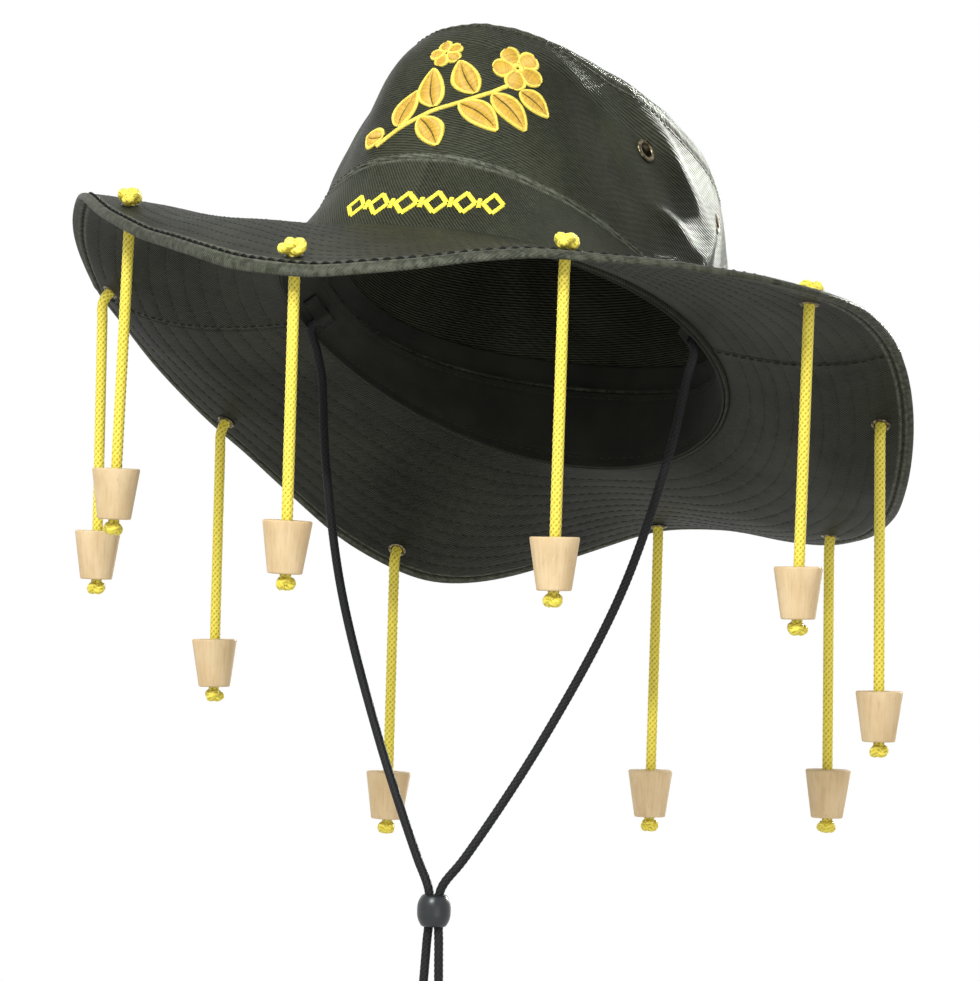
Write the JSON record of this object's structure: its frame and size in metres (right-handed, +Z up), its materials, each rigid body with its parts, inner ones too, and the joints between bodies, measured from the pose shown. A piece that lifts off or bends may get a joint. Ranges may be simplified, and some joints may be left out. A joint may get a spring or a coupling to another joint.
{
  "type": "bush hat with cork strings",
  "caption": "Wide-brimmed twill bush hat with pinched crown, corks hanging on braided strings round the brim, vent eyelets and a chin cord with a sliding toggle.",
  "frame": {"origin": "centre of the head opening, at the seam of crown and brim, as the hat sits on a head", "axes": "+Z up, front of the hat towards -Y, the wearer's left towards +X; the hat is tipped 24 degrees back and 2 degrees to the wearer's left as worn"},
  "size_m": [0.3373, 0.3539, 0.3786],
  "materials": {
    "twill": "dark olive grey cotton twill",
    "inner_cloth": "dark plain cotton",
    "antique_brass": "dull antique",
    "yellow_cord": "braided polyester",
    "cork": "cut and sanded",
    "black_cord": "braided polyester",
    "toggle_plastic": "satin"
  },
  "bodies": {
    "root": {"brim": "twill", "crown_band": "twill", "crown_wall": "twill", "crown_tip": "twill", "sweatband": "inner_cloth", "vent_eyelet_left_front": "antique_brass", "vent_eyelet_left_rear": "antique_brass", "vent_eyelet_right_front": "antique_brass", "vent_eyelet_right_rear": "antique_brass", "brim_eyelet_1": "antique_brass", "brim_eyelet_2": "antique_brass", "brim_eyelet_3": "antique_brass", "brim_eyelet_4": "antique_brass", "brim_eyelet_5": "antique_brass", "brim_eyelet_6": "antique_brass", "brim_eyelet_7": "antique_brass", "brim_eyelet_8": "antique_brass", "brim_eyelet_9": "antique_brass", "brim_eyelet_10": "antique_brass", "string_1": "yellow_cord", "string_2": "yellow_cord", "string_3": "yellow_cord", "string_4": "yellow_cord", "string_5": "yellow_cord", "string_6": "yellow_cord", "string_7": "yellow_cord", "string_8": "yellow_cord", "string_9": "yellow_cord", "string_10": "yellow_cord", "cork_1": "cork", "cork_2": "cork", "cork_3": "cork", "cork_4": "cork", "cork_5": "cork", "cork_6": "cork", "cork_7": "cork", "cork_8": "cork", "cork_9": "cork", "cork_10": "cork", "chin_cord_left": "black_cord", "chin_cord_right": "black_cord", "chin_toggle": "toggle_plastic"}
  },
  "joints": []
}
